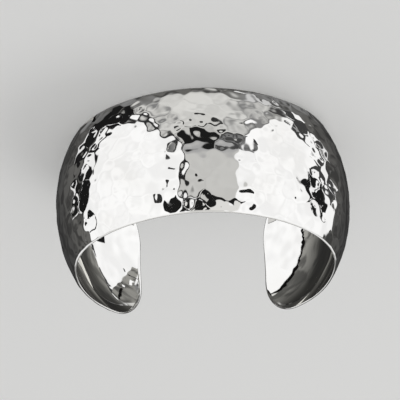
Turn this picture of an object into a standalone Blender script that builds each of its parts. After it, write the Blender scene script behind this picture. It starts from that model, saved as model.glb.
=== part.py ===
"""Cuff bracelet: one strip of hammered silver sheet, domed across and bent into an open oval.

The cuff lies on its side, as it rests by itself. Its lower rim stands on the ground plane, the wrist
passes through it along Z, the middle of the band faces -Y and the gap between the tips faces +Y.
The strip is drawn flat first, by length along the band and height across it, and is then bent.
"""

import math
import random

import bpy
import numpy as np
from mathutils import Vector
from mathutils.geometry import delaunay_2d_cdt

# Driving dimensions, in metres.
OUTER_WIDTH = 0.0660
FRONT_DEPTH = 0.0247
BACK_DEPTH = 0.0251
BAND_WIDTH = 0.0348
DOME_RISE = 0.0039
SHEET_WALL = 0.0005
TIP_GAP = 0.0288
CORNER_LENGTH = 0.0094
CORNER_HEIGHT = 0.0121
DENT_PITCH = 0.0044
DENT_DEPTH = 0.00010

# Shape of the oval and of the dome, as shares without a unit.
FRONT_FULLNESS = -0.007
BACK_FULLNESS = 0.020
DOME_SQUARENESS = 0.13

# How the hammer blows stray, as shares of their spacing and of their depth.
BLOW_STRAY = 0.16
BLOW_UNEVENNESS = 0.35
BLOW_SEED = 7

# Fineness of the facets.
CROWN_STEPS = 1440
CORNER_STEPS = 9
FACET_LENGTH = DENT_PITCH / math.sqrt(3)
FACET_CLEARANCE = 0.6 * FACET_LENGTH

SILVER_COLOUR = (0.93, 0.92, 0.89, 1.0)
SILVER_ROUGHNESS = 0.06


def clear_scene():
    """Remove the objects that the scene starts with."""
    for thing in list(bpy.data.objects):
        bpy.data.objects.remove(thing, do_unlink=True)


def silver_material(name):
    """Polished silver as a Principled BSDF."""
    material = bpy.data.materials.new(name)
    material.use_nodes = True
    shader = material.node_tree.nodes["Principled BSDF"]
    shader.inputs["Base Color"].default_value = SILVER_COLOUR
    shader.inputs["Metallic"].default_value = 1.0
    shader.inputs["Roughness"].default_value = SILVER_ROUGHNESS
    return material


def oval_point(angle):
    """Point of the oval in plan, by its angle from the middle of the band's front."""
    back_share = (1 - math.cos(angle)) / 2
    depth = FRONT_DEPTH + (BACK_DEPTH - FRONT_DEPTH) * back_share
    fullness = FRONT_FULLNESS + (BACK_FULLNESS - FRONT_FULLNESS) * back_share
    sideways = (math.sin(angle) + fullness * math.sin(3 * angle)) / (1 - fullness)
    forward = (math.cos(angle) - fullness * math.cos(3 * angle)) / (1 - fullness)
    return OUTER_WIDTH / 2 * sideways, -depth * forward


def tip_angle():
    """Angle at which the back of the oval is half the gap away from the middle plane."""
    widest, closed = math.pi / 2, math.pi
    for _ in range(50):
        middle = (widest + closed) / 2
        if oval_point(middle)[0] > TIP_GAP / 2:
            widest = middle
        else:
            closed = middle
    return (widest + closed) / 2


class CrownLine:
    """The oval along the crown of the dome, from tip to tip, measured by its length."""

    def __init__(self):
        angles = np.linspace(-tip_angle(), tip_angle(), CROWN_STEPS + 1)
        points = np.array([oval_point(angle) for angle in angles])
        steps = np.hypot(*np.diff(points, axis=0).T)
        lengths = np.concatenate([[0.0], np.cumsum(steps)])
        self.lengths = lengths - lengths[-1] / 2
        self.points = points
        tangents = np.gradient(points, self.lengths, axis=0)
        tangents /= np.linalg.norm(tangents, axis=1)[:, None]
        self.outward = np.stack([tangents[:, 1], -tangents[:, 0]], axis=1)
        self.half_length = self.lengths[-1]

    def place(self, length):
        """Plan position and outward direction at a length from the middle of the band."""
        columns = np.concatenate([self.points, self.outward], axis=1).T
        x, y, out_x, out_y = (np.interp(length, self.lengths, column) for column in columns)
        return Vector((x, y)), Vector((out_x, out_y)).normalized()


def dome_inset(height):
    """How far the outside lies in from the crown at a height from the band's middle."""
    share = height / (BAND_WIDTH / 2)
    return DOME_RISE * ((1 - DOME_SQUARENESS) * share**2 + DOME_SQUARENESS * share**4)


def dome_slope(height):
    """Slope of the dome at a height from the band's middle."""
    share = height / (BAND_WIDTH / 2)
    steepness = 2 * (1 - DOME_SQUARENESS) * share + 4 * DOME_SQUARENESS * share**3
    return DOME_RISE / (BAND_WIDTH / 2) * steepness


def spaced(start, end):
    """Points from start up to but without end, about one facet apart."""
    steps = max(1, round((end - start).length / FACET_LENGTH))
    return [start.lerp(end, step / steps) for step in range(steps)]


def rounded_corner(centre, start_angle):
    """Quarter of an ellipse round a corner of the strip, without its last point."""
    angles = [start_angle + math.pi / 2 * step / CORNER_STEPS for step in range(CORNER_STEPS)]
    return [
        centre + Vector((CORNER_LENGTH * math.cos(a), CORNER_HEIGHT * math.sin(a))) for a in angles
    ]


def strip_outline(half_length):
    """Outline of the flat strip, counter-clockwise: four rounded corners joined by straight edges."""
    right = half_length - CORNER_LENGTH
    top = BAND_WIDTH / 2 - CORNER_HEIGHT
    rim = BAND_WIDTH / 2
    outline = spaced(Vector((-right, -rim)), Vector((0, -rim)))
    outline += spaced(Vector((0, -rim)), Vector((right, -rim)))
    outline += rounded_corner(Vector((right, -top)), -math.pi / 2)
    outline += spaced(Vector((half_length, -top)), Vector((half_length, top)))
    outline += rounded_corner(Vector((right, top)), 0)
    outline += spaced(Vector((right, rim)), Vector((0, rim)))
    outline += spaced(Vector((0, rim)), Vector((-right, rim)))
    outline += rounded_corner(Vector((-right, top)), math.pi / 2)
    outline += spaced(Vector((-half_length, top)), Vector((-half_length, -top)))
    outline += rounded_corner(Vector((-right, -top)), math.pi)
    return outline


def edge_distance(point, half_length):
    """Distance from a point of the strip to its nearest edge, less than 0 outside it."""
    beyond_length = abs(point.x) - (half_length - CORNER_LENGTH)
    beyond_height = abs(point.y) - (BAND_WIDTH / 2 - CORNER_HEIGHT)
    straight = min(half_length - abs(point.x), BAND_WIDTH / 2 - abs(point.y))
    if beyond_length <= 0 or beyond_height <= 0:
        return straight
    reach = math.hypot(beyond_length / CORNER_LENGTH, beyond_height / CORNER_HEIGHT)
    return min(straight, (1 - reach) * min(CORNER_LENGTH, CORNER_HEIGHT))


def hammer_points(half_length):
    """Points of the hammered face with their depths: one blow amid each ring of six ridge points."""
    chance = random.Random(BLOW_SEED)
    row_height = FACET_LENGTH * math.sqrt(3) / 2
    last_row = math.ceil(BAND_WIDTH / 2 / row_height)
    last_column = math.ceil(half_length / FACET_LENGTH) + last_row
    stray = BLOW_STRAY * FACET_LENGTH
    points, depths = [], []
    for row in range(-last_row, last_row + 1):
        for column in range(-last_column, last_column + 1):
            aside = Vector((chance.uniform(-stray, stray), chance.uniform(-stray, stray)))
            force = 1 + chance.uniform(-BLOW_UNEVENNESS, BLOW_UNEVENNESS)
            point = Vector(((column + row / 2) * FACET_LENGTH, row * row_height)) + aside
            if edge_distance(point, half_length) > FACET_CLEARANCE:
                points.append(point)
                depths.append(DENT_DEPTH * force if (column - row) % 3 == 0 else 0.0)
    return points, depths


def flat_strip(half_length):
    """The flat strip as points, their dent depths, its triangles and the number of edge points."""
    outline = strip_outline(half_length)
    blows, depths = hammer_points(half_length)
    loop = list(range(len(outline)))
    points, _, triangles, sources, _, _ = delaunay_2d_cdt(outline + blows, [], [loop], 1, 1e-7)
    known_depths = [0.0] * len(outline) + depths
    kept_depths = [known_depths[source[0]] for source in sources]
    return points, kept_depths, triangles, len(outline)


def bend_strip(crown, points, depths):
    """Outer and inner surface points of the bent strip, its lower rim on the ground plane."""
    outer, inner = [], []
    for point, depth in zip(points, depths):
        place, outward = crown.place(point.x)
        inset = dome_inset(point.y)
        thickness = SHEET_WALL * math.hypot(1, dome_slope(point.y))
        height = point.y + BAND_WIDTH / 2
        outer.append(((place - outward * (inset + depth)).to_3d() + Vector((0, 0, height))))
        inner.append((place - outward * (inset + thickness)).to_3d() + Vector((0, 0, height)))
    return outer, inner


def centre_on_footprint(points):
    """The points moved in plan so that their bounding box is centred on the Z axis."""
    middle_x = (min(p.x for p in points) + max(p.x for p in points)) / 2
    middle_y = (min(p.y for p in points) + max(p.y for p in points)) / 2
    return [p - Vector((middle_x, middle_y, 0)) for p in points]


def make_cuff_band():
    """The whole cuff: hammered outside, smooth inside, and a plain sheet edge all round."""
    crown = CrownLine()
    points, depths, triangles, edge_count = flat_strip(crown.half_length)
    outer, inner = bend_strip(crown, points, depths)
    shift = len(outer)
    faces = [tuple(triangle) for triangle in triangles]
    faces += [tuple(shift + corner for corner in reversed(triangle)) for triangle in triangles]
    for here in range(edge_count):
        after = (here + 1) % edge_count
        faces.append((here, shift + after, after))
        faces.append((here, shift + here, shift + after))
    mesh = bpy.data.meshes.new("cuff_band")
    mesh.from_pydata(centre_on_footprint(outer + inner), [], faces)
    mesh.update()
    mesh.shade_smooth()
    mesh.set_sharp_from_angle(angle=math.radians(30))
    mesh.materials.append(silver_material("polished_silver"))
    band = bpy.data.objects.new("cuff_band", mesh)
    bpy.context.scene.collection.objects.link(band)
    return band


clear_scene()
make_cuff_band()
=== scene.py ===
"""Looks of a hammered silver cuff: the fine surface of its one band, its finish, and a plain studio."""

import logging
import math
from dataclasses import dataclass, field
from enum import Enum
from typing import Any

import bpy
import numpy as np
from mathutils import Matrix, Vector


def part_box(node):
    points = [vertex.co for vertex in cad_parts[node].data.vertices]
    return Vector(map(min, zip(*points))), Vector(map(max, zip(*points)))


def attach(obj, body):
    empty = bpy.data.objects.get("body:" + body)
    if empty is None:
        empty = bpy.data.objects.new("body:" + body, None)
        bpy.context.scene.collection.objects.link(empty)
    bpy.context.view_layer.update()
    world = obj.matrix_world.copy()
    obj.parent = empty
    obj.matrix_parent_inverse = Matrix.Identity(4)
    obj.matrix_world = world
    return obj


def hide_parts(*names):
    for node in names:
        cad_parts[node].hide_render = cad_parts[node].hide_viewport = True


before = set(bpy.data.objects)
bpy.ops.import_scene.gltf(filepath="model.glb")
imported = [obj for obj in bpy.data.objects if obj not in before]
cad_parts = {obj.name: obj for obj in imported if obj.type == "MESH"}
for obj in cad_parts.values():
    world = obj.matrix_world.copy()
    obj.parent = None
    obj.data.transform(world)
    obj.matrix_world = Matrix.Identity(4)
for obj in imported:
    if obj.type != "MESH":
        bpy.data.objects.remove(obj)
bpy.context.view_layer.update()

log = logging.getLogger("cuff")

BAND_NODE = "cuff_band"
BODY = "root"
MILLIMETRE = 0.001

Colour = tuple[float, float, float]
Direction = tuple[float, float, float]
Span = tuple[float, float]
Place = tuple[float, float]
Outline = tuple[Place, ...]

WHITE: Colour = (1.0, 1.0, 1.0)
BLACK: Colour = (0.0, 0.0, 0.0)
NEAR_BLACK: Colour = (0.02, 0.02, 0.02)
WARM_WHITE: Colour = (1.0, 0.995, 0.965)
UP: Direction = (0.0, 0.0, 1.0)
BACK: Direction = (0.0, 1.0, 0.0)

RAGGED_REACH: Span = (0.2, 0.9)
RAGGED_SEED = 5


class Sheen(Enum):
    """Which face of the silver a material is named for; both faces get the same polish."""

    HAMMERED_OUTSIDE = "hammered_outside"
    SMOOTH_INSIDE = "smooth_inside"


class Signal:
    """A node's output, or a plain number, that takes part in Python expressions."""

    def __init__(self, bench: "NodeBench", source: Any) -> None:
        """Wrap a socket.

        Args:
            bench: The bench that adds nodes to the socket's tree.
            source: The output socket, or a number.
        """
        self.bench = bench
        self.source = source

    def _math(self, operation: str, *others: Any) -> "Signal":
        """One Math node.

        Args:
            operation: Blender's name of the operation.
            others: The second and third operands.

        Returns:
            The node's result.
        """
        return self.bench.node("ShaderNodeMath", {"operation": operation}, [self, *others])

    def __add__(self, other: Any) -> "Signal":
        """Sum."""
        return self._math("ADD", other)

    def __radd__(self, other: Any) -> "Signal":
        """Sum with the signal on the right."""
        return self._math("ADD", other)

    def __sub__(self, other: Any) -> "Signal":
        """Difference."""
        return self._math("SUBTRACT", other)

    def __rsub__(self, other: Any) -> "Signal":
        """Difference with the signal on the right."""
        return Signal(self.bench, other)._math("SUBTRACT", self)

    def __mul__(self, other: Any) -> "Signal":
        """Product."""
        return self._math("MULTIPLY", other)

    def __rmul__(self, other: Any) -> "Signal":
        """Product with the signal on the right."""
        return self._math("MULTIPLY", other)

    def __truediv__(self, other: Any) -> "Signal":
        """Quotient."""
        return self._math("DIVIDE", other)

    def above(self, other: Any) -> "Signal":
        """1 where the signal is greater than the other, else 0."""
        return self._math("GREATER_THAN", other)

    def at_least(self, other: Any) -> "Signal":
        """The greater of the two."""
        return self._math("MAXIMUM", other)

    def at_most(self, other: Any) -> "Signal":
        """The lesser of the two."""
        return self._math("MINIMUM", other)

    def rises(self, start: float, end: float) -> "Signal":
        """A smooth step.

        Args:
            start: Where the step leaves 0.
            end: Where it reaches 1, which may lie below start.

        Returns:
            The step, from 0 to 1.
        """
        settings = {"interpolation_type": "SMOOTHSTEP"}
        return self.bench.node("ShaderNodeMapRange", settings, {"Value": self, 1: start, 2: end})


class NodeBench:
    """Adds nodes to one node tree."""

    def __init__(self, tree: bpy.types.NodeTree) -> None:
        """Start with an empty tree.

        Args:
            tree: The tree of a material or of the world.
        """
        self.tree = tree
        tree.nodes.clear()

    def node(self, kind: str, settings: dict[str, Any] | None = None, sockets: Any = ()) -> Signal:
        """Add a node, set it, then feed its sockets.

        Args:
            kind: Blender's type name of the node.
            settings: Properties of the node, set first.
            sockets: Values or signals by socket name or number, or a list in the sockets' order.

        Returns:
            The node's first output that is in use.
        """
        made = self.tree.nodes.new(kind)
        for name, value in (settings or {}).items():
            setattr(made, name, value)
        items = sockets.items() if isinstance(sockets, dict) else enumerate(sockets)
        for key, value in items:
            self._feed(made.inputs[key], value)
        outputs = [output for output in made.outputs if output.enabled]
        return Signal(self, outputs[0]) if outputs else Signal(self, made)

    def output(self, signal: Signal, name: str) -> Signal:
        """Another output of the node that a signal comes from."""
        return Signal(self, signal.source.node.outputs[name])

    def _feed(self, socket: bpy.types.NodeSocket, value: Any) -> None:
        """Link or set one socket.

        Args:
            socket: The input socket.
            value: A signal to link, or a value to set.
        """
        if isinstance(value, Signal):
            value = value.source
        if isinstance(value, bpy.types.NodeSocket):
            self.tree.links.new(value, socket)
        elif isinstance(value, tuple) and socket.type == "RGBA":
            socket.default_value = (*value, 1.0)
        else:
            socket.default_value = value

    def noise(self, place: Signal, scale: float, detail: float) -> Signal:
        """Soft random spots.

        Args:
            place: Position or direction in which the spots lie.
            scale: How many spots there are to each unit.
            detail: How fine their borders are.

        Returns:
            A value around 0.5.
        """
        return self.node("ShaderNodeTexNoise", None, {"Vector": place, "Scale": scale, "Detail": detail})

    def mix(self, share: Any, first: Any, second: Any) -> Signal:
        """Blend two colours.

        Args:
            share: How much of the second colour shows.
            first: Colour at a share of 0.
            second: Colour at a share of 1.

        Returns:
            The blended colour.
        """
        made = self.tree.nodes.new("ShaderNodeMix")
        made.data_type = "RGBA"
        for place, value in ((0, share), (6, first), (7, second)):
            self._feed(made.inputs[place], value)
        return Signal(self, made.outputs[2])

    def dot(self, first: Any, second: Any) -> Signal:
        """Multiply two vectors into one number.

        Args:
            first: A vector or a signal.
            second: Another.

        Returns:
            Their dot product.
        """
        made = self.tree.nodes.new("ShaderNodeVectorMath")
        made.operation = "DOT_PRODUCT"
        self._feed(made.inputs[0], first)
        self._feed(made.inputs[1], second)
        return Signal(self, made.outputs["Value"])


@dataclass(frozen=True)
class MirrorSilver:
    """Silver polished to a mirror, with the faint haze, hairlines and warmth of a handled piece."""

    sheen: Sheen
    colour: Colour = (0.957, 0.953, 0.944)
    toned_colour: Colour = (0.925, 0.917, 0.900)
    clear_roughness: float = 0.012
    hazy_roughness: float = 0.050
    haze_scale: float = 260.0
    haze_detail: float = 4.0
    haze_range: Span = (0.42, 0.72)
    tone_scale: float = 90.0
    tone_detail: float = 2.0
    tone_range: Span = (0.45, 0.80)
    hairline_scale: float = 2600.0
    hairline_detail: float = 3.0
    hairline_stretch: Direction = (0.12, 0.12, 1.0)
    hairline_height: float = 0.02 * MILLIMETRE
    hairline_strength: float = 0.02

    def material(self) -> bpy.types.Material:
        """Build the material.

        Returns:
            A Principled BSDF whose colour, roughness and normal vary over the surface.
        """
        made = bpy.data.materials.new(f"mirror_silver_{self.sheen.value}")
        made.use_nodes = True
        bench = NodeBench(made.node_tree)
        place = bench.output(bench.node("ShaderNodeTexCoord"), "Object")
        haze = bench.noise(place, self.haze_scale, self.haze_detail).rises(*self.haze_range)
        tone = bench.noise(place, self.tone_scale, self.tone_detail).rises(*self.tone_range)
        roughness = self.clear_roughness + haze * (self.hazy_roughness - self.clear_roughness)
        colour = bench.mix(tone, self.colour, self.toned_colour)
        bump = self._hairlines(bench, place)
        sockets = {"Base Color": colour, "Metallic": 1.0, "Roughness": roughness, "Normal": bump}
        shader = bench.node("ShaderNodeBsdfPrincipled", None, sockets)
        bench.node("ShaderNodeOutputMaterial", None, {"Surface": shader})
        return made

    def _hairlines(self, bench: NodeBench, place: Signal) -> Signal:
        """Fine polishing lines along the band as a bump.

        Args:
            bench: The material's bench.
            place: Position on the band.

        Returns:
            The bump's normal.
        """
        stretch = {"Vector": place, "Scale": self.hairline_stretch}
        stretched = bench.node("ShaderNodeMapping", None, stretch)
        lines = bench.noise(stretched, self.hairline_scale, self.hairline_detail)
        bump = {"Strength": self.hairline_strength, "Distance": self.hairline_height, "Height": lines}
        return bench.node("ShaderNodeBump", None, bump)


@dataclass(frozen=True)
class OvalLine:
    """The oval that the crown of the dome follows in plan, open between the tips."""

    outer_width: float = 66.0 * MILLIMETRE
    front_depth: float = 24.7 * MILLIMETRE
    back_depth: float = 25.1 * MILLIMETRE
    tip_gap: float = 28.8 * MILLIMETRE
    front_fullness: float = -0.007
    back_fullness: float = 0.020
    steps: int = 2880

    def at_angle(self, angle: np.ndarray) -> np.ndarray:
        """Points of the closed oval.

        Args:
            angle: Angles from the middle of the front, in radians.

        Returns:
            One row of x and y for each angle.
        """
        back_share = (1 - np.cos(angle)) / 2
        depth = self.front_depth + (self.back_depth - self.front_depth) * back_share
        fullness = self.front_fullness + (self.back_fullness - self.front_fullness) * back_share
        sideways = (np.sin(angle) + fullness * np.sin(3 * angle)) / (1 - fullness)
        forward = (np.cos(angle) - fullness * np.cos(3 * angle)) / (1 - fullness)
        return np.stack([self.outer_width / 2 * sideways, -depth * forward], axis=-1)

    def tip_angle(self) -> float:
        """Angle at which the back of the oval reaches a tip."""
        angles = np.linspace(math.pi, math.pi / 2, self.steps)
        return float(np.interp(self.tip_gap / 2, self.at_angle(angles)[:, 0], angles))

    def table(self) -> tuple[np.ndarray, np.ndarray]:
        """The open oval by its length.

        Returns:
            Lengths from the middle of the front, and rows of x, y and the outward direction there.
        """
        end = self.tip_angle()
        points = self.at_angle(np.linspace(-end, end, self.steps + 1))
        steps = np.hypot(*np.diff(points, axis=0).T)
        lengths = np.concatenate([[0.0], np.cumsum(steps)])
        lengths -= lengths[-1] / 2
        tangents = np.gradient(points, lengths, axis=0)
        tangents /= np.linalg.norm(tangents, axis=1)[:, None]
        outward = np.stack([tangents[:, 1], -tangents[:, 0]], axis=1)
        return lengths, np.concatenate([points, outward], axis=1)


@dataclass(frozen=True)
class HammerBlows:
    """The field of planishing blows, each a shallow bowl that cuts into its neighbours.

    The places are worked out in batches, so that the table of places and blows stays small.
    """

    pitch: float = 2.6 * MILLIMETRE
    bowl_radius: float = 10.8 * MILLIMETRE
    bowl_unevenness: float = 0.42
    depth_unevenness: float = 0.007 * MILLIMETRE
    tilt: float = 0.014
    stray: float = 0.24
    ridge_softness: float = 0.064 * MILLIMETRE
    seed: int = 17
    batch: int = 512

    def centres(self, half_length: float, half_width: float) -> np.ndarray:
        """Where the blows fell on the flat strip.

        Args:
            half_length: Half the strip's length.
            half_width: Half its width.

        Returns:
            One row for each blow: place along, place across, depth, two tilts and the bowl's curve.
        """
        chance = np.random.default_rng(self.seed)
        row_height = self.pitch * math.sqrt(3) / 2
        rows = math.ceil(half_width / row_height) + 2
        columns = math.ceil(half_length / self.pitch) + 2
        row, column = np.mgrid[-rows : rows + 1, -columns : columns + 1]
        along = (column + 0.5 * (row % 2)) * self.pitch
        across = row * row_height
        count = along.size
        stray = chance.uniform(-self.stray, self.stray, (count, 2)) * self.pitch
        depth = chance.normal(0, self.depth_unevenness, count)
        tilt = chance.normal(0, self.tilt, (count, 2))
        unevenness = chance.uniform(-self.bowl_unevenness, self.bowl_unevenness, count)
        curve = (1 + unevenness) / self.bowl_radius
        places = np.stack([along.ravel(), across.ravel()], axis=1) + stray
        return np.column_stack([places, depth, tilt, curve])

    def sink(self, blows: np.ndarray, along: np.ndarray, across: np.ndarray) -> np.ndarray:
        """How deep the hammered face lies at places of the strip.

        Args:
            blows: The rows of centres().
            along: Places along the strip.
            across: Places across it.

        Returns:
            The depth at each place, greatest in the middle of a bowl and least on the ridges.
        """
        result = np.empty(along.size)
        for start in range(0, along.size, self.batch):
            part = slice(start, start + self.batch)
            away_along = along[part, None] - blows[None, :, 0]
            away_across = across[part, None] - blows[None, :, 1]
            bowl = blows[None, :, 5] * (away_along**2 + away_across**2) / 2
            slant = blows[None, :, 3] * away_along + blows[None, :, 4] * away_across
            level = (blows[None, :, 2] + slant - bowl) / self.ridge_softness
            highest = level.max(axis=1)
            blend = np.log(np.exp(level - highest[:, None]).sum(axis=1))
            result[part] = (highest + blend) * self.ridge_softness
        return result


@dataclass(frozen=True)
class InsideWaves:
    """The slight waviness that the blows leave on the smooth inside."""

    height: float = 0.013 * MILLIMETRE
    spread: float = 1.7 * MILLIMETRE
    spacing: float = 3.4 * MILLIMETRE
    seed: int = 23

    def rise(self, along: np.ndarray, across: np.ndarray, reach: tuple[float, float]) -> np.ndarray:
        """Height of the waves at places of the strip.

        Args:
            along: Places along the strip.
            across: Places across it.
            reach: Half the strip's length and width.

        Returns:
            The height at each place.
        """
        chance = np.random.default_rng(self.seed)
        count = int(4 * reach[0] * reach[1] / self.spacing**2)
        centres = chance.uniform(-1, 1, (count, 2)) * (np.array(reach) + self.spread)
        heights = chance.normal(0, self.height, count)
        result = np.zeros(along.size)
        for (x, y), height in zip(centres, heights):
            result += height * np.exp(-((along - x) ** 2 + (across - y) ** 2) / (2 * self.spread**2))
        return result


@dataclass
class CuffBand:
    """The whole cuff: one domed strip bent into the open oval."""

    band_width: float = 34.8 * MILLIMETRE
    dome_rise: float = 3.9 * MILLIMETRE
    dome_squareness: float = 0.13
    sheet_wall: float = 0.5 * MILLIMETRE
    corner_length: float = 9.4 * MILLIMETRE
    corner_height: float = 12.1 * MILLIMETRE
    edge_round: float = 0.24 * MILLIMETRE
    columns: int = 456
    rows: int = 142
    round_steps: int = 4
    oval: OvalLine = field(default_factory=OvalLine)
    blows: HammerBlows = field(default_factory=HammerBlows)
    waves: InsideWaves = field(default_factory=InsideWaves)

    def __post_init__(self) -> None:
        """Work out the oval's table and the places of the blows."""
        self.lengths, self.plan = self.oval.table()
        self.half_length = self.lengths[-1]
        self.blow_rows = self.blows.centres(self.half_length, self.band_width / 2)

    def on_strip(self, u: np.ndarray, v: np.ndarray, inset: float) -> tuple[np.ndarray, np.ndarray]:
        """Places on the flat strip, whose corners are quarters of an ellipse.

        Args:
            u: Share of the row's half length, from -1 to 1.
            v: Share of the way from the middle to a rim, from -1 to 1.
            inset: Distance from the strip's own outline.

        Returns:
            Places along and across the strip.
        """
        straight = self.band_width / 2 - self.corner_height
        height = self.corner_height - inset
        way = np.abs(v) * (straight + height * math.pi / 2)
        turn = np.clip((way - straight) / height, 0, math.pi / 2)
        across = np.sign(v) * np.where(turn > 0, straight + height * np.sin(turn), way)
        cut = (self.corner_length - inset) * (1 - np.cos(turn))
        return u * (self.half_length - inset - cut), across

    def bend(self, along: np.ndarray, across: np.ndarray, share: float) -> np.ndarray:
        """Points of the bent sheet.

        Args:
            along: Places along the flat strip.
            across: Places across it.
            share: 0 on the hammered outside, 1 on the smooth inside.

        Returns:
            One row of x, y and z for each place.
        """
        columns = [np.interp(along, self.lengths, column) for column in self.plan.T]
        tilt = across / (self.band_width / 2)
        square = self.dome_squareness
        inset = self.dome_rise * ((1 - square) * tilt**2 + square * tilt**4)
        steepness = 2 * (1 - square) * tilt + 4 * square * tilt**3
        slope = self.dome_rise / (self.band_width / 2) * steepness
        outside = self.blows.sink(self.blow_rows, along, across) if share < 1 else 0
        reach = (self.half_length, self.band_width / 2)
        wall = self.sheet_wall * np.hypot(1, slope)
        inside = wall + self.waves.rise(along, across, reach) if share > 0 else 0
        depth = inset + (1 - share) * outside + share * inside
        outward = np.stack(columns[2:4], axis=1)
        outward /= np.linalg.norm(outward, axis=1)[:, None]
        plan = np.stack(columns[0:2], axis=1) - outward * depth[:, None]
        return np.column_stack([plan, across + self.band_width / 2])

    @staticmethod
    def rim_places(columns: int, rows: int) -> tuple[np.ndarray, np.ndarray]:
        """Places once round the strip, counter-clockwise from its lower left corner.

        Args:
            columns: Facets along the band.
            rows: Facets across it.

        Returns:
            The shares u and v that on_strip() takes.
        """
        low_to_high_u = np.linspace(-1, 1, columns + 1)
        low_to_high_v = np.linspace(-1, 1, rows + 1)
        u = [low_to_high_u[:-1], np.ones(rows), low_to_high_u[:0:-1], -np.ones(rows)]
        v = [-np.ones(columns), low_to_high_v[:-1], np.ones(columns), low_to_high_v[:0:-1]]
        return np.concatenate(u), np.concatenate(v)

    def edge_profile(self) -> list[tuple[float, float]]:
        """The rounded sheet edge from outside to inside.

        Returns:
            Pairs of the inset from the outline and the share of the wall.
        """
        quarter = [math.pi / 2 * step / self.round_steps for step in range(self.round_steps + 1)]
        corner = self.edge_round / self.sheet_wall
        outer = [(self.edge_round * (1 - math.sin(a)), corner * (1 - math.cos(a))) for a in quarter]
        inner = [(inset, 1 - share) for inset, share in reversed(outer)]
        return outer[1:] + inner[:-1]

    def grid(
        self, columns: int, rows: int, share: float, turned: bool
    ) -> tuple[np.ndarray, list[list[int]], np.ndarray]:
        """One face of the sheet as a grid of four-sided facets.

        Args:
            columns: Facets along the band.
            rows: Facets across it.
            share: 0 for the outside, 1 for the inside.
            turned: Whether the facets face the other way.

        Returns:
            The points, the facets, and the numbers of the points once round its edge.
        """
        v, u = np.meshgrid(np.linspace(-1, 1, rows + 1), np.linspace(-1, 1, columns + 1), indexing="ij")
        along, across = self.on_strip(u.ravel(), v.ravel(), self.edge_round)
        numbers = np.arange(along.size).reshape(rows + 1, columns + 1)
        corners = [numbers[:-1, :-1], numbers[:-1, 1:], numbers[1:, 1:], numbers[1:, :-1]]
        if turned:
            corners.reverse()
        facets = np.stack([corner.ravel() for corner in corners], axis=1)
        rim = [numbers[0, :-1], numbers[:-1, -1], numbers[-1, :0:-1], numbers[:0:-1, 0]]
        return self.bend(along, across, share), facets.tolist(), np.concatenate(rim)

    def mesh(self) -> bpy.types.Mesh:
        """Build the band's closed mesh.

        Returns:
            The mesh, its lower rim on the ground and centred in plan on the solid's box.
        """
        points, facets, rim = self.grid(self.columns, self.rows, 0.0, False)
        inner, inner_facets, inner_rim = self.grid(self.columns // 2, self.rows // 2, 1.0, True)
        outside_count = len(facets)
        parts, total, before = [points], len(points), rim
        u, v = self.rim_places(self.columns, self.rows)
        for inset, share in self.edge_profile():
            along, across = self.on_strip(u, v, inset)
            parts.append(self.bend(along, across, share))
            here = np.arange(total, total + len(u))
            total += len(u)
            facets += ring_of_facets(before, here)
            before = here
        parts.append(inner)
        facets += stepped_ring(before, inner_rim + total)
        edge_count = len(facets) - outside_count
        facets += [[corner + total for corner in facet] for facet in inner_facets]
        made = bpy.data.meshes.new("hammered_band")
        made.from_pydata(self.seated(np.concatenate(parts)).tolist(), [], facets)
        slots = np.ones(len(facets), dtype=np.int32)
        slots[:outside_count] = 0
        made.polygons.foreach_set("material_index", slots)
        made.update()
        made.shade_smooth()
        log.info("band: %d facets outside, %d on the edge", outside_count, edge_count)
        return made

    @staticmethod
    def seated(points: np.ndarray) -> np.ndarray:
        """Move points onto the middle of the solid's box in plan and onto its lower rim.

        Args:
            points: One row of x, y and z for each point.

        Returns:
            The moved points.
        """
        low, high = (np.array(corner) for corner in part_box(BAND_NODE))
        shift = (low + high) / 2 - (points.min(axis=0) + points.max(axis=0)) / 2
        shift[2] = low[2] - points[:, 2].min()
        return points + shift

    def build(self) -> bpy.types.Object:
        """Make the band, dress it, and put it in the place of its solid.

        Returns:
            The band's object.
        """
        band = bpy.data.objects.new("hammered_band", self.mesh())
        bpy.context.scene.collection.objects.link(band)
        for sheen in Sheen:
            band.data.materials.append(MirrorSilver(sheen).material())
        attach(band, BODY)
        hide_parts(BAND_NODE)
        return band


def ring_of_facets(before: np.ndarray, after: np.ndarray) -> list[list[int]]:
    """Four-sided facets between two rings with as many points.

    Args:
        before: Point numbers of the ring nearer the outside.
        after: Point numbers of the ring nearer the inside.

    Returns:
        The facets.
    """
    return np.stack([before, after, np.roll(after, -1), np.roll(before, -1)], axis=1).tolist()


def stepped_ring(fine: np.ndarray, coarse: np.ndarray) -> list[list[int]]:
    """Facets between a ring and one with half as many points.

    Args:
        fine: Point numbers of the finer ring.
        coarse: Point numbers of the coarser ring.

    Returns:
        The facets.
    """
    facets = []
    count = len(fine)
    for place, start in enumerate(coarse):
        end = coarse[(place + 1) % len(coarse)]
        first, middle, last = (fine[(2 * place + step) % count] for step in range(3))
        facets += [[first, start, middle], [middle, start, end], [middle, end, last]]
    return [[int(corner) for corner in facet] for facet in facets]


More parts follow.
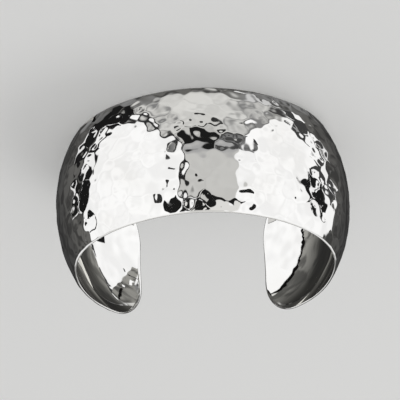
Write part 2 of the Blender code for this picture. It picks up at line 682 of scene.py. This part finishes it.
@dataclass(frozen=True)
class Softbox:
    """A far flat panel that the silver mirrors.

    It faces the cuff from one direction, and its four edges lie at angles from that direction: azimuth
    grows from the front, -Y, towards +X, and elevation grows upwards. All angles are in degrees. Dimming
    darkens its border, mottle its spots, and where open_above is less than 1 the panel is broken.
    """

    name: str
    azimuth: float
    elevation: float
    from_side: float
    to_side: float
    from_low: float
    to_high: float
    light: float
    dimming: float = 0.0
    softness: float = 1.5
    tint: Colour = WHITE
    oval: bool = False
    mottle: float = 0.0
    open_above: float = 1.0
    grain: float = 8.0
    blur: float = 0.012
    oval_border: Span = (1.1, 0.9)
    spot_detail: float = 0.6
    spot_range: Span = (0.30, 0.70)
    least_facing: float = 0.001

    @classmethod
    def spot(cls, name: str, place: Place, half_size: Place, light: float) -> "Softbox":
        """A small oval panel.

        Args:
            name: Its name.
            place: Azimuth and elevation of its middle.
            half_size: Half its angle to the side and upwards.
            light: Its light.

        Returns:
            The panel.
        """
        side, high = half_size
        return cls(name, *place, -side, side, -high, high, light, oval=True)

    @classmethod
    def broken(
        cls, name: str, place: Place, edges: tuple[float, ...], light: float, kept: float, grain: float
    ) -> "Softbox":
        """A crisp panel that is broken into pieces.

        Args:
            name: Its name.
            place: Azimuth and elevation that it faces the cuff from.
            edges: Angles of its side edges, then of its low and high edge.
            light: Its light.
            kept: Level of the spots up to which the panel is kept.
            grain: How many spots there are.

        Returns:
            The panel.
        """
        return cls(name, *place, *edges, light, softness=0.5, open_above=kept, grain=grain)

    def axes(self) -> tuple[Direction, Direction, Direction]:
        """Work out how the panel faces.

        Returns:
            The directions to the panel, along it towards more azimuth, and up it.
        """
        turn, lift = math.radians(self.azimuth), math.radians(self.elevation)
        middle = (math.sin(turn) * math.cos(lift), -math.cos(turn) * math.cos(lift), math.sin(lift))
        sideways = (math.cos(turn), math.sin(turn), 0.0)
        upwards = (-math.sin(turn) * math.sin(lift), math.cos(turn) * math.sin(lift), math.cos(lift))
        return middle, sideways, upwards

    def span(self, reach: Signal, start: float, end: float) -> tuple[Signal, Signal]:
        """How a panel covers one of its two ways.

        Args:
            reach: Distance along the panel for each unit of distance to it.
            start: Angle of the one edge, in degrees.
            end: Angle of the other edge.

        Returns:
            1 between the edges with soft borders, and the way from the middle, from -1 to 1.
        """
        low, high = math.tan(math.radians(start)), math.tan(math.radians(end))
        soft_low = math.radians(self.softness) * (1 + low**2) / 2
        soft_high = math.radians(self.softness) * (1 + high**2) / 2
        past_low = reach.rises(low - soft_low, low + soft_low)
        before_high = reach.rises(high + soft_high, high - soft_high)
        return past_low * before_high, (reach - (low + high) / 2) * (2 / (high - low))

    def over(self, bench: NodeBench, direction: Signal, room: Any) -> Signal:
        """Paint the panel over what is behind it.

        Args:
            bench: The world's bench.
            direction: The direction looked in.
            room: Colour behind the panel.

        Returns:
            The colour with the panel.
        """
        middle, sideways, upwards = self.axes()
        ahead = bench.dot(direction, middle)
        near = ahead.at_least(self.least_facing)
        across, side_way = self.span(bench.dot(direction, sideways) / near, self.from_side, self.to_side)
        along, high_way = self.span(bench.dot(direction, upwards) / near, self.from_low, self.to_high)
        away = side_way * side_way + high_way * high_way
        shape = away.rises(*self.oval_border) if self.oval else across * along
        cover = shape * ahead.above(self.least_facing)
        colour: Any = tuple(self.light * part for part in self.tint)
        if self.dimming:
            edge = tuple(part * (1 - self.dimming) for part in colour)
            colour = bench.mix((away / 2).at_most(1.0), colour, edge)
        if self.mottle or self.open_above < 1:
            spots = bench.noise(direction, self.grain, self.spot_detail)
            colour = bench.mix(spots.rises(*self.spot_range) * self.mottle, colour, BLACK)
            if self.open_above < 1:
                cover = cover * spots.rises(self.open_above + self.blur, self.open_above - self.blur)
        return bench.mix(cover, room, colour)


@dataclass(frozen=True)
class LowFlag:
    """A small glowing card below the floor that the insides of the tips mirror through the lower opening:
    its light is a painted reflection, seen only by the silver.

    Its corners and its drop are in millimetres. It shades from the near to the far light over the stretch
    of Y that fade gives.
    """

    name: str
    corners: Outline
    near_light: float
    far_light: float
    fade: Span = (0.0, 1.0)
    mottle: float = 0.0
    grain: float = 400.0
    drop: float = 14.0
    tint: Colour = (1.0, 0.985, 0.92)
    spot_detail: float = 3.0
    spot_range: Span = (0.40, 0.60)

    def lit(self, light: float) -> Colour:
        """The card's colour at a light."""
        return tuple(light * part for part in self.tint)

    def material(self) -> bpy.types.Material:
        """Make the card's own light.

        Returns:
            An emission that fades and is mottled.
        """
        made = bpy.data.materials.new(self.name)
        made.use_nodes = True
        bench = NodeBench(made.node_tree)
        place = bench.output(bench.node("ShaderNodeTexCoord"), "Object")
        near, far = (edge * MILLIMETRE for edge in self.fade)
        share = bench.dot(place, BACK).rises(near, far)
        tone = bench.mix(share, self.lit(self.near_light), self.lit(self.far_light))
        spots = bench.noise(place, self.grain, self.spot_detail).rises(*self.spot_range)
        tone = bench.mix(spots * self.mottle, tone, NEAR_BLACK)
        glow = bench.node("ShaderNodeEmission", None, {"Color": tone, "Strength": 1.0})
        bench.node("ShaderNodeOutputMaterial", None, {"Surface": glow})
        return made

    def build(self) -> None:
        """Lay the card below the floor as a part of the studio, where only the silver's reflections see
        it.
        """
        points = [(x * MILLIMETRE, y * MILLIMETRE, -self.drop * MILLIMETRE) for x, y in self.corners]
        mesh = bpy.data.meshes.new(self.name)
        mesh.from_pydata(points, [], [list(range(len(points)))])
        mesh.materials.append(self.material())
        card = bpy.data.objects.new(self.name, mesh)
        # Hidden from the camera, diffuse bounces and shadows: the card's glow is a painted reflection for
        # the silver, not a lamp.
        card.visible_camera = False
        card.visible_diffuse = False
        card.visible_shadow = False
        bpy.context.scene.collection.objects.link(card)


def ragged_line(start: Place, end: Place, width: float, steps: int) -> Outline:
    """Outline of a line with uneven edges.

    Args:
        start: One end in plan.
        end: The other end.
        width: About how wide the line is.
        steps: How many times each edge turns.

    Returns:
        The outline's corners.
    """
    chance = np.random.default_rng(RAGGED_SEED)
    first, last = np.array(start), np.array(end)
    way = last - first
    aside = np.array([-way[1], way[0]]) / np.linalg.norm(way)
    shares = np.linspace(0, 1, steps)
    there = [first + way * t + aside * width * chance.uniform(*RAGGED_REACH) for t in shares]
    back = [first + way * t - aside * width * chance.uniform(*RAGGED_REACH) for t in shares[::-1]]
    return tuple((float(x), float(y)) for x, y in there + back)


@dataclass
class Studio:
    """A pale floor, a soft lamp and the panels that the silver mirrors."""

    floor_size: float = 6.0
    floor_colour: Colour = (0.80, 0.80, 0.79)
    floor_roughness: float = 0.75
    room_light: float = 0.70
    side_room: Colour = (0.13, 0.128, 0.122)
    back_room: Colour = (0.050, 0.050, 0.050)
    high_room: Colour = (0.72, 0.715, 0.70)
    back_range: Span = (0.0, 0.9)
    high_range: Span = (0.40, 0.72)
    streak_scale: float = 9.0
    streak_detail: float = 3.0
    streak_range: Span = (0.40, 0.62)
    streak_depth: float = 0.7
    lamp_power: float = 1.4
    lamp_size: float = 0.5
    lamp_place: Direction = (-0.45, 0.25, 0.80)

    def floor(self) -> None:
        """Lay the plain pale floor."""
        bpy.ops.mesh.primitive_plane_add(size=self.floor_size)
        floor = bpy.context.object
        floor.name = "floor"
        floor.visible_glossy = False
        material = bpy.data.materials.new("pale_floor")
        material.use_nodes = True
        bench = NodeBench(material.node_tree)
        sockets = {"Base Color": self.floor_colour, "Roughness": self.floor_roughness}
        shader = bench.node("ShaderNodeBsdfPrincipled", None, sockets)
        bench.node("ShaderNodeOutputMaterial", None, {"Surface": shader})
        floor.data.materials.append(material)

    def lamp(self) -> None:
        """Hang the soft lamp that gives the floor its shadow."""
        data = bpy.data.lights.new("soft_lamp", "AREA")
        data.shape = "DISK"
        data.size = self.lamp_size
        data.energy = self.lamp_power
        lamp = bpy.data.objects.new("soft_lamp", data)
        lamp.location = self.lamp_place
        lamp.rotation_euler = Vector(self.lamp_place).to_track_quat("Z", "Y").to_euler()
        lamp.visible_glossy = False
        bpy.context.scene.collection.objects.link(lamp)

    def sheets(self) -> list[Softbox]:
        """The lit panels.

        Returns:
            The panels in the order in which each covers the ones before.
        """
        warm = WARM_WHITE
        fringe = {"softness": 5, "open_above": 0.5, "grain": 12, "blur": 0.2}
        strip = {"softness": 0.6, "open_above": 0.5, "grain": 14}
        return [
            Softbox("back_left", 128, 34, -17, 17, -20, 26, 0.90, 0.3, 8.0),
            Softbox("back_right", -128, 34, -17, 17, -20, 26, 0.90, 0.3, 8.0),
            Softbox("grey_gap", -5, 0, -60, 60, -60, 80, 0.58, 0.0, 1.0, warm, mottle=0.08, grain=5),
            Softbox("gap_top", -8, 20, -14, 16, -11, 30, 0.74, 0.0, 0.8, warm),
            Softbox("wide_below", 0, -90, -36, 30, 3, 45, 0.34, 0.2, 4.0, warm, mottle=0.8, grain=10),
            Softbox("sheet_below", 3, -90, -28, 23, 4, 45, 0.72, 0.15, 2.5, warm, mottle=0.17, grain=7),
            Softbox("below_back_strip", 3, -90, -36, -7, -2.5, 0.5, 0.80, **strip),
            Softbox("below_left_fringe", 0, -90, 14, 26, -33, 40, 0.22, **fringe),
            Softbox("below_right_fringe", 0, -90, -27, -14, -33, 40, 0.22, **fringe),
            Softbox("left_streaks", 92, -40, -13, 13, -26, 22, 0.80, open_above=0.50, grain=6),
            Softbox("right_streaks", -95, -28, -9, 12, -34, 24, 0.95, open_above=0.53, grain=7),
            Softbox("right_top_streaks", -88, -70, -4, 4, -4, 5, 0.60, open_above=0.50, grain=12),
            Softbox("left_sheet", 85, 0, -74, 0, -62, 78, 1.03, 0.05, mottle=0.11, grain=7.5),
            Softbox("right_sheet", -90, 0, -4, 69, -60, 78, 1.03, 0.05, mottle=0.11, grain=7.5),
        ]

    def bar_flags(self) -> list[Softbox]:
        """The dark bar below the middle.

        Returns:
            The bar's shade, the bar, its posts and the dashes below it.
        """
        return [
            Softbox("bar_shade", -6, -31, -13, 13, -5, 3, 0.40, softness=6.0),
            Softbox("bar", -7, -38, -20, 19, -3.0, 5, 0.22, mottle=0.7, open_above=0.62, grain=11),
            Softbox("bar_left_post", 8, -38, -12.0, 3.5, -5.5, 5.5, 0.012, open_above=0.72, grain=12),
            Softbox("bar_right_post", -20, -38, -5, 5, -6, 6, 0.06, open_above=0.56, grain=18),
            Softbox.spot("left_dash", (12, -49), (3.8, 1.6), 0.03),
            Softbox.spot("middle_dash", (-1, -49), (3.0, 1.7), 0.03),
            Softbox.spot("right_dash", (-12, -49), (3.6, 1.6), 0.03),
        ]

    def side_flags(self) -> list[Softbox]:
        """The dark frames of the two white sheets and what stands in front of them.

        Returns:
            The flags of the left sheet, then of the right one, each from edge to stand.
        """
        return [
            Softbox.broken("left_edge", (85, 0), (-70, -6, -63.2, -61.0), 0.03, 0.56, 8),
            Softbox(
                "right_edge", -90, 0, 6, 66, -62.8, -59.5, 0.22, softness=2.0, open_above=0.58, grain=9
            ),
            Softbox.broken("left_frame", (92, -40), (-14, 12, -30, 24), 0.012, 0.51, 11),
            Softbox.broken("left_rail", (98, -62), (-9, 9, -5, 5), 0.010, 0.66, 8),
            Softbox.broken("left_post", (83, -24), (-4.3, 3.5, -14, 14), 0.010, 0.60, 9),
            Softbox.broken("left_foot", (80, -3), (-4, 4, -5, 3), 0.010, 0.55, 14),
            Softbox.broken("right_frame", (-92, -42), (-10, 9, -21, 24), 0.05, 0.53, 10),
            Softbox.broken("right_stand", (-77, -18), (-11, 11, -10, 9), 0.012, 0.64, 12),
        ]

    def middle_flags(self) -> list[Softbox]:
        """The small dark things in front of the grey gap between the sheets.

        Returns:
            The line along the gap, the lens with its spots, the cable and the specks.
        """
        return [
            Softbox("gap_line", 11.5, -12, -1.3, 0.4, -20, 18, 0.02, softness=0.3),
            Softbox("lens", 5, 11, -11, 10.5, -12, 16, 0.012, oval=True, open_above=0.59, grain=15),
            Softbox.spot("lens_high_spot", (8, 3), (2.2, 1.4), 0.75),
            Softbox.spot("lens_low_spot", (6, 8), (1.6, 1.2), 0.75),
            Softbox.spot("lens_side_spot", (-1, 10), (1.8, 1.6), 0.62),
            Softbox("lens_side", 21, 10, -2.6, 2.6, -6, 5, 0.012, oval=True),
            Softbox("cable", -12, 7.5, -16, 15, -1.1, 1.1, 0.012, softness=0.4),
            Softbox.spot("cable_knot", (-7, 7.5), (3.5, 3.2), 0.012),
            Softbox.spot("cable_end", (-24, 9), (4, 2.4), 0.012),
            Softbox.spot("speck_low", (22, -9), (1.5, 2.8), 0.03),
            Softbox.spot("speck_high", (28, 1), (1.4, 3.4), 0.03),
            Softbox.spot("speck_middle", (20, -20), (1.5, 1.8), 0.05),
            Softbox.spot("speck_top", (24, -33), (1.6, 1.4), 0.05),
            Softbox.spot("speck_right", (-31, -38), (3.0, 1.6), 0.05),
        ]

    def mirrored_room(self, bench: NodeBench, direction: Signal) -> Signal:
        """The room without its panels: dark behind and below, paler beside and above.

        Args:
            bench: The world's bench.
            direction: The direction looked in.

        Returns:
            The room's colour.
        """
        backwards = bench.dot(direction, BACK).rises(*self.back_range)
        upwards = bench.dot(direction, UP).rises(*self.high_range)
        low = bench.mix(backwards, self.side_room, self.back_room)
        streaks = bench.noise(direction, self.streak_scale, self.streak_detail).rises(*self.streak_range)
        low = bench.mix(streaks * self.streak_depth, low, NEAR_BLACK)
        return bench.mix(upwards, low, self.high_room)

    def tip_cards(self) -> list[LowFlag]:
        """The large glowing cards, whose painted reflections give the insides of the tips their dark and
        pale sides.

        Returns:
            The cards with the dark border between them.
        """
        dark_side = ((31, -4), (20, 2), (14, 3.4), (9, 4.4), (2.5, 7.2), (-1.3, 11), (-1.3, 37), (31, 37))
        pale_side = (
            (-26, 18), (-18, 14.5), (-14.5, 12.3), (-9.9, 13.7),
            (-5.9, 17), (-1.5, 19), (-1.5, 37), (-26, 37),
        )
        white_foot = ((9, -8), (1.5, -8), (0.2, 6.5), (2.5, 7.4), (9, 5))
        far_border = ragged_line((32, -5.2), (19, 1.8), 1.9, 13)
        border = ragged_line((20, 1.4), (1.0, 7.6), 2.0, 19)
        return [
            LowFlag("dark_side", dark_side, 0.38, 0.03, (-3, 25), mottle=0.65, grain=170),
            LowFlag("dark_border_far", far_border, 0.005, 0.005, drop=13.8),
            LowFlag("dark_border", border, 0.005, 0.005, drop=13.7),
            LowFlag("white_foot", white_foot, 1.0, 1.0, tint=WHITE),
            LowFlag("pale_side", pale_side, 0.34, 0.065, (12, 24), mottle=0.5, grain=210),
        ]

    def inner_cards(self) -> list[LowFlag]:
        """The glowing cards whose painted reflection is the mottled band inside the one tip, with the
        small things on it.

        Returns:
            The band, its dark lines, its white spots, which are painted glints, and the streak beyond it.
        """
        band = (
            (-11.8, -10), (-10.5, -6.5), (-10.2, -4), (-9.4, -1.5), (-9.4, 1.5), (-8.5, 4), (-8.3, 7),
            (-7.2, 9.5), (-6.5, 13), (-5, 17), (-2.2, 17), (-2.2, 8), (-6, 0), (-9, -10),
        )
        line = ragged_line((-5.4, 8.5), (-3.5, 16.5), 0.5, 9)
        ring = ragged_line((-9.2, -2.5), (-6.6, -3.5), 0.5, 7)
        dash = ragged_line((-11.8, -4.0), (-10.4, -2.4), 0.5, 4)
        spot = ragged_line((-7.0, -0.8), (-6.3, 2.2), 0.9, 5)
        low_spot = ragged_line((-6.6, 5.2), (-5.9, 6.8), 0.7, 4)
        far_streak = ((-7, 30.5), (-4.5, 30.5), (-1, 34.5), (-3, 36.5), (-8, 34))
        return [
            LowFlag("inner_band", band, 0.34, 0.28, (-10, 10), mottle=0.70, grain=300, drop=13.8),
            LowFlag("inner_line", line, 0.006, 0.006, drop=13.7),
            LowFlag("inner_ring", ring, 0.01, 0.01, drop=13.7),
            LowFlag("inner_dash", dash, 0.01, 0.01, drop=13.7),
            LowFlag("inner_spot", spot, 1.0, 1.0, drop=13.6, tint=WHITE),
            LowFlag("inner_low_spot", low_spot, 1.0, 1.0, drop=13.6, tint=WHITE),
            LowFlag("far_streak", far_streak, 0.9, 0.9, mottle=0.3, grain=300, drop=13.7),
        ]

    def world(self) -> None:
        """Paint the room: plain for the camera and the floor, panelled for the silver."""
        world = bpy.data.worlds.new("studio")
        bpy.context.scene.world = world
        world.use_nodes = True
        bench = NodeBench(world.node_tree)
        direction = bench.output(bench.node("ShaderNodeTexCoord"), "Generated")
        mirrored = self.mirrored_room(bench, direction)
        for panel in self.sheets() + self.bar_flags() + self.side_flags() + self.middle_flags():
            mirrored = panel.over(bench, direction, mirrored)
        plain = bench.node("ShaderNodeBackground", None, {"Color": WHITE, "Strength": self.room_light})
        panelled = bench.node("ShaderNodeBackground", None, {"Color": mirrored, "Strength": 1.0})
        glossy = bench.output(bench.node("ShaderNodeLightPath"), "Is Glossy Ray")
        both = bench.node("ShaderNodeMixShader", None, [glossy, plain, panelled])
        bench.node("ShaderNodeOutputWorld", None, {"Surface": both})

    def build(self) -> None:
        """Set up floor, lamp and room."""
        self.floor()
        self.lamp()
        self.world()
        for card in self.tip_cards() + self.inner_cards():
            card.build()
        bpy.context.scene.view_settings.view_transform = "Standard"


@dataclass(frozen=True)
class PhotoCamera:
    """The camera at the photo's angle to the cuff, above the floor and turned over with the cuff."""

    azimuth: float = 1.48
    elevation: float = 37.5
    roll: float = 177.6
    distance: float = 0.7754
    lens: float = 309.8
    sensor_width: float = 36.0
    clip_start: float = 0.01
    clip_end: float = 20.0
    aim: Direction = (0.62 * MILLIMETRE, -0.01 * MILLIMETRE, 16.33 * MILLIMETRE)

    def build(self) -> bpy.types.Object:
        """Set up the camera.

        Returns:
            The camera, which is also the scene's.
        """
        data = bpy.data.cameras.new("photo_camera")
        data.lens = self.lens
        data.sensor_width = self.sensor_width
        data.clip_start = self.clip_start
        data.clip_end = self.clip_end
        camera = bpy.data.objects.new("photo_camera", data)
        turned = Matrix.Rotation(math.radians(self.azimuth), 4, "Z")
        raised = Matrix.Rotation(math.radians(90 - self.elevation), 4, "X")
        rolled = Matrix.Rotation(math.radians(self.roll), 4, "Z")
        pulled = Matrix.Translation((0, 0, self.distance))
        camera.matrix_world = Matrix.Translation(self.aim) @ turned @ raised @ pulled @ rolled
        bpy.context.scene.collection.objects.link(camera)
        bpy.context.scene.camera = camera
        return camera


def main() -> None:
    """Build the cuff, the studio and the camera, and report each."""
    logging.basicConfig(level=logging.INFO, format="%(message)s")
    band = CuffBand().build()
    log.info("%s: %d points", band.name, len(band.data.vertices))
    Studio().build()
    log.info("studio: floor, lamp and room")
    camera = PhotoCamera().build()
    log.info("%s: lens %.1f mm", camera.name, camera.data.lens)


if __name__ == "__main__":
    main()
